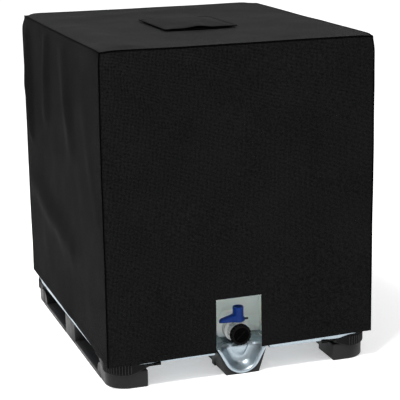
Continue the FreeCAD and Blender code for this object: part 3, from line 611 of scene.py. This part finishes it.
hem_line = CAD_HEM + HEM_BAND - 0.004
hem_rows = [panel_row(name, (-PANELS[name][3] + HEM_END, hem_line), (PANELS[name][3] - HEM_END, hem_line))
            for name in ("rear", "left", "right")]
left_line, right_line = -NOTCH_LEFT - NOTCH_STITCHES, NOTCH_RIGHT + NOTCH_STITCHES
top_line = NOTCH_TOP + NOTCH_STITCHES
for low, high in ((-SEAM_X + HEM_END, left_line), (right_line, SEAM_X - HEM_END)):
    hem_rows.append(panel_row("front", (low, hem_line), (high, hem_line)))
for across in (left_line, right_line):
    hem_rows.append(panel_row("front", (across, hem_line), (across, top_line)))
hem_rows.append(panel_row("front", (left_line, top_line), (right_line, top_line)))
new_piece("hem_stitches", *joined(hem_rows), "thread", "cover", "piping")


def seam_path(start, end):
    """Points along a seam of the hanging cover."""
    count = max(2, round((end - start).length / 0.012))
    return [settle(start.lerp(end, index / count)) for index in range(count + 1)]


rim = [Vector((side_x * SEAM_X, side_y * SEAM_Y, SEAM_Z)) for side_x, side_y in CORNERS.values()]
top_path = []
for start, end in zip(rim, rim[1:] + rim[:1]):
    top_path += seam_path(start, end)[:-1]
cords = [tube_points(top_path, PIPING_RADIUS, True)]
for top in rim:
    cords.append(tube_points(seam_path(Vector((top.x, top.y, CAD_HEM - 0.001)), top), PIPING_RADIUS, False))
piping = new_piece("piping_cords", *joined(cords), "piping", "cover", "piping")
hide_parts("cover_piping")

hole_path = []
for index in range(120):
    turn = 2 * pi * index / 120
    hole_path.append(panel_point("top", HOLE_RADIUS * cos(turn), HOLE_RADIUS * sin(turn))
                     - Vector((0, 0, FABRIC / 2)))
new_piece("fill_hole_binding", *tube_points(hole_path, 0.0016, True, 8), "piping", "cover", "piping")


# ---------------- flap over the fill hole

FLAP_HALF, FLAP_FRONT, FLAP_REAR = 0.140, -0.192, 0.150
FLAP_TOP = 1.2096


def flap_crown(across, back):
    """How far the flap stands up: a soft crown over its left part, a crease, and a hump in its front edge."""
    left = (across + FLAP_HALF) / (2 * FLAP_HALF)
    front = min(1.0, max(0.0, (FLAP_REAR - back) / (FLAP_REAR - FLAP_FRONT)))
    crease = 0.60 + 0.34 * front
    crown = 0.0150 * smooth_step(left / 0.26) * (1 - smooth_step((left - crease + 0.07) / 0.13))
    crown *= max(0.0, sin(pi * front ** 0.72)) ** 0.8
    crown += 0.0035 * exp(-((left - crease) / 0.045) ** 2) * sin(pi * front)
    crown += 0.0058 * exp(-((left - 0.46) / 0.13) ** 2) * smooth_step((front - 0.35) / 0.6)
    crown += 0.0012 * smooth_step(left / 0.1) * smooth_step(front / 0.15) * (
        1 + noise.noise(Vector((across * 16, back * 16, 3.1))))
    return crown


def flap_grid(left, right, front, rear, height, fine=0.004, coarse=0.007):
    """(points, faces) of a rectangle that follows the flap's crown."""
    columns = steps(left, right, fine, coarse, 0.012)
    rows = steps(front, rear, fine, coarse, 0.012)
    points = [Vector((x, y, height + flap_crown(x, y))) for y in rows for x in columns]
    return points, grid_faces(len(columns), len(rows))


flap_points, flap_faces = flap_grid(-FLAP_HALF, FLAP_HALF, FLAP_FRONT, FLAP_REAR, FLAP_TOP)
# the flap takes the top's painted-light copy of the cloth
flap = cloth("flap_cloth", flap_points, flap_faces, "top_cloth", "flap")
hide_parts("cover_flap")


def flap_edge(share):
    """Goes round the flap's free edges, from the left rear corner to the right rear corner."""
    depth, width = FLAP_REAR - FLAP_FRONT, 2 * FLAP_HALF
    run = share * (2 * depth + width)
    if run < depth:
        x, y = -FLAP_HALF, FLAP_REAR - run
    elif run < depth + width:
        x, y = -FLAP_HALF + run - depth, FLAP_FRONT
    else:
        x, y = FLAP_HALF, FLAP_FRONT + run - depth - width
    return x, y


# a dark binding round the flap's free edges: partly its bound edge, partly a painted shadow line where the
# flap meets the top
edge_path = []
for index in range(161):
    x, y = flap_edge(index / 160)
    edge_path.append(Vector((x, y, FLAP_TOP - FABRIC / 2 + flap_crown(x, y))))
new_piece("flap_binding_painted_shadow_line", *tube_points(edge_path, 0.0015, False, 8), "piping", "flap", "piping")


def flap_line(inset, rear_inset):
    """A row of stitches inside the flap's free edges."""
    def at(share):
        x, y = flap_edge(share)
        x = max(-FLAP_HALF + inset, min(FLAP_HALF - inset, x))
        y = max(FLAP_FRONT + inset, min(FLAP_REAR - rear_inset, y))
        return Vector((x, y, FLAP_TOP + flap_crown(x, y))), Vector((0, 0, 1))
    return at


flap_rows = [stitch_row(flap_line(0.009, 0.0), 150)]
for inset in (0.010, 0.018):
    def rear_line(share, inset=inset):
        x, y = -FLAP_HALF + 0.004 + share * (2 * FLAP_HALF - 0.008), FLAP_REAR - inset
        return Vector((x, y, FLAP_TOP + flap_crown(x, y))), Vector((0, 0, 1))
    flap_rows.append(stitch_row(rear_line, 44))
new_piece("flap_stitches", *joined(flap_rows), "thread", "flap", "piping")

low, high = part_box("flap_hook_strip")
strip_points, strip_faces = flap_grid(low.x, high.x, low.y, high.y, FLAP_TOP - FABRIC - 0.0002)
hook_strip = new_piece("hook_strip", strip_points, strip_faces, "hook", "flap", "hook_and_loop")
modify(hook_strip, "SOLIDIFY", thickness=0.0011, offset=-1.0)
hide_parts("flap_hook_strip")
softened("flap_loop_strip", "hook", "cover", 0.0005, 1, "loop_strip")


# ---------------- pallet

for place in CORNERS:
    softened(f"corner_foot_{place}", "pallet", "container", 0.006, 3)
for node in ("centre_foot_front", "centre_foot_rear", "middle_block", "side_block_left", "side_block_right"):
    softened(node, "pallet", "container", 0.004, 2)
for node in ("skids_left", "skids_centre", "skids_right"):
    softened(node, "pallet", "container", 0.003, 2)


def gusset(name, low_x, high_x, start, side_y):
    """Concave web between a foot's inner face and the skid behind it."""
    radius, count, foot_top, foot_low = 0.044, 14, 0.060, 0.012
    profile = [(start + 0.004, foot_low), (start + 0.004, foot_top), (start, foot_top)]
    for index in range(count + 1):
        turn = pi / 2 * index / count
        profile.append((start - radius * sin(turn), foot_top - radius * (1 - cos(turn))))
    profile.append((start - radius, foot_low))
    width = len(profile)
    points = [Vector((x, side_y * y, z)) for x in (low_x, high_x) for y, z in profile]
    faces = grid_faces(width, 2, wrap=True) + [tuple(range(width)), tuple(range(width, 2 * width))]
    piece = new_piece(name, points, faces, "pallet", "container", "pallet_plastic")
    modify(piece, "EDGE_SPLIT", split_angle=radians(40))


CORNER_FOOT_OUTSIDE, CORNER_FOOT_INSIDE, CORNER_FOOT_BACK = 0.4950, 0.3780, 0.4565
CENTRE_FOOT_HALF, CENTRE_FOOT_BACK = 0.0585, 0.4545
for place, (side_x, side_y) in CORNERS.items():
    low_x, high_x = sorted((side_x * CORNER_FOOT_OUTSIDE, side_x * CORNER_FOOT_INSIDE))
    gusset(f"gusset_{place}", low_x, high_x, CORNER_FOOT_BACK, side_y)
for place, side_y in (("front", -1), ("rear", 1)):
    gusset(f"gusset_{place}", -CENTRE_FOOT_HALF, CENTRE_FOOT_HALF, CENTRE_FOOT_BACK, side_y)


def guard_path(side_x, side_y, step=0.0026):
    """(place, outward direction, distance from the corner's middle) along a corner guard's outer face."""
    half_x, half_y, radius, reach = 0.4995, 0.5995, 0.0815, 0.190
    straight = reach - radius
    arc = radius * pi / 2
    total = 2 * straight + arc
    count = round(total / step)
    centre = Vector((half_x - radius, half_y - radius, 0))
    row = []
    for index in range(count + 1):
        run = total * index / count
        if run < straight:
            place, out = Vector((half_x - reach + run, half_y, 0)), Vector((0, 1, 0))
        elif run < straight + arc:
            turn = pi / 2 - (run - straight) / radius
            out = Vector((cos(turn), sin(turn), 0))
            place = centre + radius * out
        else:
            place, out = Vector((half_x, half_y - radius - (run - straight - arc), 0)), Vector((1, 0, 0))
        flip = Vector((side_x, side_y, 1))
        row.append((place * flip, out * flip, run - total / 2))
    return row


def guard(place_name):
    """Ribbed corner cap over a foot: its lower edge hangs lowest round the corner."""
    side_x, side_y = CORNERS[place_name]
    points = []
    path = guard_path(side_x, side_y)
    for index, (place, out, run) in enumerate(path):
        away = abs(run)
        low = 0.050 + 0.0332 * smooth_step((away - 0.045) / 0.120)
        high = 0.0965 - 0.0125 * smooth_step((away - 0.055) / 0.060)
        ribbed = 1 - smooth_step((away - 0.062) / 0.01)
        tooth = (0.0 if index % 4 in (0, 1) else 0.0030) * ribbed      # two points of four stand out
        profile = ((-0.0028, low + 0.001), (-0.0004, low), (0.0006, low + 0.0015), (0.0006, low + 0.004),
                   (0.0006 + tooth, low + 0.0055), (0.0006 + tooth, high - 0.0070), (0.0006, high - 0.0055),
                   (0.0006, high - 0.0030), (0.0016, high - 0.0018), (0.0010, high - 0.0004), (0.0, high),
                   (-0.0012, high), (-0.0014, 0.0838), (-0.0090, 0.0838), (-0.0540, 0.0838),
                   (-0.0550, 0.0700))
        for reach, height in profile:
            points.append(Vector((place.x, place.y, height)) + reach * out)
    width = len(profile)
    faces = grid_faces(width, len(path))
    faces += [tuple(range(width)), tuple(range((len(path) - 1) * width, len(path) * width))]
    piece = new_piece(f"guard_{place_name}", points, faces, "guard", "container", "pallet_plastic")
    rework(piece.data, face_outward)
    modify(piece, "EDGE_SPLIT", split_angle=radians(40))
    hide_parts(f"corner_guard_{place_name}")


for place in CORNERS:
    guard(place)

softened("base_ring", "zinc", "container", 0.004, 3)
# the seam where the rail's ends meet, on the left
joint_outline = [(-0.4984, 0.0836), (-0.4984, 0.1106), (-0.4676, 0.1106), (-0.4676, 0.0836)]
joint_points = [Vector((x, y, z)) for y in (0.0845, 0.0875) for x, z in joint_outline]
new_piece("rail_joint", joint_points, grid_faces(4, 2, wrap=True) + [(0, 1, 2, 3), (4, 5, 6, 7)], "screw",
          "container", "galvanised_steel", False)
softened("deck_sheet", "zinc", "container", 0.0008, 1)
for part in ("front", "middle", "rear"):
    softened(f"cross_tube_{part}", "zinc", "container", 0.003, 2)


# ---------------- dished trough under the valve

def rim_outline(count=96):
    """(across, height, outward across, outward height) along the trough's front edge, from left to right."""
    radius, centre, lean, top, half = 0.064, 0.076, radians(28), 0.112, 0.092
    tangent = pi / 2 - lean
    row = []
    flank = Vector((cos(-lean), sin(-lean)))
    start = Vector((radius * flank.x, centre + radius * flank.y))
    top_point = Vector((half, top))
    length = (top_point - start).length
    arc = 2 * radius * tangent
    total = 2 * length + arc
    for index in range(count + 1):
        run = total * index / count
        if run < length:
            spot, out = top_point.lerp(start, run / length), flank
            spot, out = Vector((-spot.x, spot.y)), Vector((-out.x, out.y))
        elif run < length + arc:
            turn = -pi + lean + (run - length) / radius
            out = Vector((cos(turn), sin(turn)))
            spot = Vector((0, centre)) + radius * out
        else:
            spot, out = start.lerp(top_point, (run - length - arc) / length), flank
        row.append((spot, out))
    return row


def emboss(across, height):
    """Shapes pressed into the trough's back wall, forward of it."""
    pad = 0.0060 * (1 - smooth_step((hypot(0.8 * (across - 0.010), height - 0.094) - 0.012) / 0.030))
    cup = -0.0026 * exp(-(across ** 2 + (height - 0.030) ** 2) / 0.013 ** 2)
    ribs = 0.0
    for side in (-1, 1):
        run = Vector((side * 0.030, 0.042))
        away = Vector((across - side * 0.033, height - 0.056))
        share = min(1.0, max(0.0, away.dot(run) / run.length_squared))
        ribs += 0.0052 * exp(-((away - share * run).length / 0.0085) ** 2)
    return pad + cup + ribs


def drawn(across, height, depth):
    """A point of the trough's sheet. Above the bend it turns back over the foot, towards the deck."""
    bend, radius = 0.0895, 0.0125
    if height <= bend:
        return Vector((across, depth, height))
    turn = min(pi / 2, (height - bend) / radius)
    return Vector((across, depth + radius * (1 - cos(turn)), bend + radius * sin(turn)))


def trough():
    """The dish with its rolled lip, and the apron that leads back from it to the deck."""
    outline = rim_outline()
    count = len(outline)
    lip = ((0.0080, -0.5965), (0.0078, -0.5985), (0.0060, -0.5998), (0.0032, -0.6006), (0.0006, -0.6002),
           (-0.0012, -0.5990), (-0.0030, -0.5966), (-0.0052, -0.5925), (-0.0076, -0.5872), (-0.0104, -0.5812),
           (-0.0136, -0.5750), (-0.0174, -0.5692), (-0.0220, -0.5640), (-0.0276, -0.5600), (-0.0340, -0.5575),
           (-0.0390, -0.5566))
    points = []
    for reach, depth in lip:
        for spot, out in outline:
            place = spot + reach * out
            points.append(drawn(place.x, place.y, depth))
    inner = 26
    for row in range(1, inner + 1):
        share = row / inner
        for spot, out in outline:
            edge = spot - 0.0390 * out
            core = Vector((0.0, min(0.112, max(0.076, edge.y))))
            place = edge.lerp(core, share)
            points.append(drawn(place.x, place.y, -0.5566 - emboss(place.x, place.y)
                                * smooth_step(share / 0.25)))
    faces = grid_faces(count, len(lip) + inner)
    columns, rows, apron_half = 49, 22, 0.0995
    sheet_points = []
    for row in range(rows):
        back = row / (rows - 1)
        for column in range(columns):
            across = apron_half * (2 * column / (columns - 1) - 1)
            edge = smooth_step((abs(across) - 0.062) / 0.034)
            start = -0.5445 * (1 - edge) + -0.586 * edge
            depth = start + back * (-0.4865 - start)
            level = 0.1018 + 0.0074 * smooth_step(back * 1.6)
            dip = 0.0135 * exp(-(across / 0.050) ** 2) * smooth_step(back * 3)
            dip *= 1 - smooth_step((back - 0.85) / 0.15)
            bead = 0.0016 * exp(-((back - 0.30) / 0.06) ** 2) * (1 - edge)
            sheet_points.append(Vector((across, depth, level - dip + bead)))
    apron = (sheet_points, grid_faces(columns, rows))
    piece = new_piece("trough_sheet", *joined([(points, faces), apron]), "zinc", "container",
                      "galvanised_steel")
    rework(piece.data, merge)
    modify(piece, "SOLIDIFY", thickness=0.0018, offset=0.0)
    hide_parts("front_trough")


trough()

TO_FRONT = Matrix.Rotation(pi / 2, 3, "X")      # turns an outline's height towards -Y
BOLT_HEIGHT = 0.030
low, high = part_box("trough_bolt")
washer = lathe([(0.0005, 0.0), (0.0122, 0.0), (0.0128, 0.0006), (0.0128, 0.0016), (0.0120, 0.0021),
                (0.0074, 0.0022)], 40, (0, low.y + 0.0085, BOLT_HEIGHT), TO_FRONT)
head = lathe([(0.0080, 0.0), (0.0086, 0.0006), (0.0086, 0.0048), (0.0078, 0.0057), (0.0050, 0.0060),
              (0.0042, 0.0046), (0.0004, 0.0044)], 6, (0, low.y + 0.0066, BOLT_HEIGHT), TO_FRONT)
new_piece("trough_bolt_washer", *washer, "screw", "container", "zinc_fasteners")
bolt = new_piece("trough_bolt_look", *head, "fastener", "container", "zinc_fasteners", False)
modify(bolt, "BEVEL", width=0.0004, segments=2, limit_method="ANGLE")
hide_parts("trough_bolt")


# ---------------- bottle and valve

softened("bottle", "bottle", "container", 0.003, 2)


def recess_ledge():
    """The lower part of the recess's back wall stands a little forward, with a rounded upper edge."""
    columns, rows = 60, 22
    half, foot, wall, forward = 0.1135, 0.1120, -0.4622, 0.0085
    points = []
    for row in range(rows):
        up = row / (rows - 1)
        for column in range(columns):
            across = half * (2 * column / (columns - 1) - 1)
            edge = 0.162 + 0.004 * cos(across * 28)
            height = foot + up * (edge + 0.010 - foot)
            over = max(0.0, height - edge + 0.009) / 0.019
            points.append(Vector((across, wall - forward * (1 - smooth_step(over)), height)))
    piece = new_piece("recess_ledge", points, grid_faces(columns, rows), "bottle", "container",
                      "bottle_plastic")
    modify(piece, "SOLIDIFY", thickness=0.002, offset=-1.0)


recess_ledge()

_, nut_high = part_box("union_nut")
nut = lathe([(0.0362, 0.0), (0.0415, 0.0), (0.0422, 0.0012), (0.0408, 0.0030), (0.0408, 0.0260),
             (0.0422, 0.0282), (0.0416, 0.0310), (0.0380, 0.0320), (0.0316, 0.0320), (0.0316, 0.0290)],
            192, (0, nut_high.y, 0.142), TO_FRONT,
            lambda index, angle: 0.0012 * (cos(24 * angle) > 0.2) * (index in (3, 4)))
nut = new_piece("union_nut_look", *nut, "nut", "container", "bottle_plastic")
modify(nut, "EDGE_SPLIT", split_angle=radians(38))
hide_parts("union_nut")
softened("neck_seal", "rubber", "container", 0.0006, 2)
softened("valve_body", "valve", "container", 0.0012, 3)
softened("valve_disc", "disc", "lever", 0.0008, 2)
softened("valve_stem", "fastener", "lever", 0.0008, 2)
softened("lever_screw", "screw", "lever", 0.0009, 2)


def rounded_section(half_width, height, count=28):
    """Cross section of the lever's arm: flat below, full and rounded above."""
    row = []
    for index in range(count):
        turn = 2 * pi * index / count
        side, up = cos(turn), sin(turn)
        power = 0.62 if up > 0 else 0.28
        row.append((half_width * copysign(abs(side) ** 0.62, side),
                    height * (0.5 + 0.5 * copysign(abs(up) ** power, up))))
    return row


def lever():
    """Boot-shaped handle: a hub with a dished top, and an arm whose top falls to a thin toe."""
    base, axis_y, toe_reach = 0.186, -0.552, 0.073
    hub = lathe([(0.0070, 0.0), (0.0182, 0.0), (0.0196, 0.0012), (0.0200, 0.0030), (0.0197, 0.0280),
                 (0.0196, 0.0440), (0.0200, 0.0475), (0.0200, 0.0545), (0.0192, 0.0564), (0.0178, 0.0570),
                 (0.0158, 0.0566), (0.0148, 0.0556), (0.0142, 0.0530), (0.0110, 0.0524), (0.0004, 0.0522)],
                72, (0, axis_y, base))
    count, section = 34, 28
    points = []
    for index in range(count):
        share = index / (count - 1)
        reach = -0.004 - (toe_reach - 0.004) * (1 - (1 - share) ** 1.25)
        along = -reach / toe_reach
        toe = sqrt(max(0.0, 1 - max(0.0, (along - 0.80) / 0.20) ** 2))
        top = (0.0335 - 0.0215 * along ** 1.35 - 0.0010 * sin(pi * along)) * (0.55 + 0.45 * toe)
        half = 0.0128 - 0.0016 * along + 0.0024 * exp(-((along - 0.2) / 0.12) ** 2)
        half *= 0.10 + 0.90 * toe
        floor = 0.0012 * smooth_step((along - 0.3) / 0.5)
        for across, up in rounded_section(half, max(0.004, top)):
            points.append(Vector((reach, axis_y + across, base + floor + up)))
    faces = grid_faces(section, count, wrap=True)
    faces += [tuple(range(section)), tuple(range((count - 1) * section, count * section))]
    boss = lathe([(0.0004, 0.0), (0.0088, 0.0), (0.0094, 0.0010), (0.0094, 0.0040)], 40,
                 (0.0225, axis_y, 0.193), Matrix.Rotation(-pi / 2, 3, "Y"))
    piece = new_piece("lever_look", *joined([hub, (points, faces), boss]), "lever", "lever", "lever_plastic")
    rework(piece.data, face_outward)
    modify(piece, "EDGE_SPLIT", split_angle=radians(55))
    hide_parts("valve_lever")


lever()


def ribbed_cap(name, node, outline, sides, ribs, depth, rib_rows, place, turn, body):
    """A screw cap with grip ribs round its side."""
    def ripple(index, angle):
        if index not in rib_rows:
            return 0.0
        return depth * smooth_step((cos(ribs * angle) + 0.35) / 0.7)

    piece = new_piece(name, *lathe(outline, sides, place, turn, ripple), "cap", body, "cap_plastic")
    modify(piece, "EDGE_SPLIT", split_angle=radians(42))
    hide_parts(node)


ribbed_cap("outlet_cap_look", "outlet_cap",
           [(0.0312, 0.0), (0.0376, 0.0), (0.0384, 0.0008), (0.0368, 0.0028), (0.0368, 0.0150),
            (0.0362, 0.0176), (0.0352, 0.0192), (0.0335, 0.0200), (0.0290, 0.0200), (0.0280, 0.0194),
            (0.0272, 0.0184), (0.0200, 0.0180), (0.0004, 0.0180)],
           288, 20, 0.0024, (3, 4, 5), (0, -0.566, 0.142), TO_FRONT, "outlet_cap")
softened("cap_seal", "rubber", "cap_seal", 0.0004, 1)
ribbed_cap("fill_lid_look", "fill_lid",
           [(0.0790, 0.0), (0.0842, 0.0), (0.0852, 0.0010), (0.0840, 0.0030), (0.0840, 0.0220),
            (0.0832, 0.0256), (0.0810, 0.0275), (0.0780, 0.0280), (0.0700, 0.0280), (0.0688, 0.0268),
            (0.0680, 0.0250), (0.0520, 0.0246), (0.0500, 0.0262), (0.0300, 0.0264), (0.0004, 0.0264)],
           480, 40, 0.0018, (3, 4, 5), (0, 0, 1.158), Matrix.Identity(3), "fill_lid")
softened("lid_gasket", "rubber", "lid_gasket", 0.0005, 1)


# ---------------- cage

for index in range(1, 6):
    kept(f"cage_ring_{index}", "zinc")
for part in ("front", "rear", "left", "right"):
    kept(f"cage_uprights_{part}", "zinc")
for part in ("front", "rear"):
    softened(f"top_bar_{part}", "zinc", "container", 0.002, 2)
softened("top_bar_screws", "fastener", "container", 0.0008, 2)
softened("label_plate", "zinc", "container", 0.0006, 1)


# ---------------- stage, light and camera

FLOOR_HALF = 30
floor_mesh = bpy.data.meshes.new("floor")
floor_mesh.from_pydata([(side_x * FLOOR_HALF, side_y * FLOOR_HALF, 0) for side_x, side_y in CORNERS.values()],
                       [], [(0, 1, 2, 3)])
floor = bpy.data.objects.new("floor", floor_mesh)
bpy.context.scene.collection.objects.link(floor)
floor_look = Look("floor_pale", Roughness=0.9, Specular_IOR_Level=0.1)
floor_look.shader.inputs["Base Color"].default_value = (0.93, 0.93, 0.93, 1)
floor_look.shader.inputs["Emission Color"].default_value = (1, 1, 1, 1)
floor_look.shader.inputs["Emission Strength"].default_value = 0.40
floor_mesh.materials.append(floor_look.material)

world = bpy.data.worlds.new("studio")
bpy.context.scene.world = world
world.use_nodes = True
world.node_tree.nodes["Background"].inputs["Color"].default_value = (1, 1, 1, 1)
world.node_tree.nodes["Background"].inputs["Strength"].default_value = 0.75


def soft_light(name, place, target, size, power):
    """A square lamp that faces a target."""
    light = bpy.data.lights.new(name, "AREA")
    light.size = size
    light.energy = power
    lamp = bpy.data.objects.new(name, light)
    lamp.location = place
    lamp.rotation_euler = (Vector(target) - Vector(place)).to_track_quat("-Z", "Y").to_euler()
    bpy.context.scene.collection.objects.link(lamp)


soft_light("left", (-2.9, -0.45, 2.7), (-0.5, 0.0, 0.9), 1.0, 22)
soft_light("key", (-1.75, -2.2, 5.9), (0, -0.3, 0.9), 1.0, 250)


def camera():
    """The camera, from its place and its three angles."""
    yaw, pitch, roll = (radians(value) for value in (CAMERA_YAW, CAMERA_PITCH, CAMERA_ROLL))
    ahead = Vector((sin(yaw) * cos(pitch), cos(yaw) * cos(pitch), sin(pitch)))
    right = ahead.cross(Vector((0, 0, 1))).normalized()
    above = right.cross(ahead)
    turned_right = cos(roll) * right + sin(roll) * above
    turned_above = -sin(roll) * right + cos(roll) * above
    frame_matrix = Matrix((turned_right, turned_above, -ahead)).transposed().to_4x4()
    frame_matrix.translation = Vector(CAMERA_PLACE)
    eye = bpy.data.cameras.new("camera")
    eye.sensor_width = CAMERA_SENSOR
    eye.lens = CAMERA_LENS
    shot = bpy.data.objects.new("camera", eye)
    shot.matrix_world = frame_matrix
    bpy.context.scene.collection.objects.link(shot)
    bpy.context.scene.camera = shot


camera()
bpy.context.scene.view_settings.view_transform = "Standard"
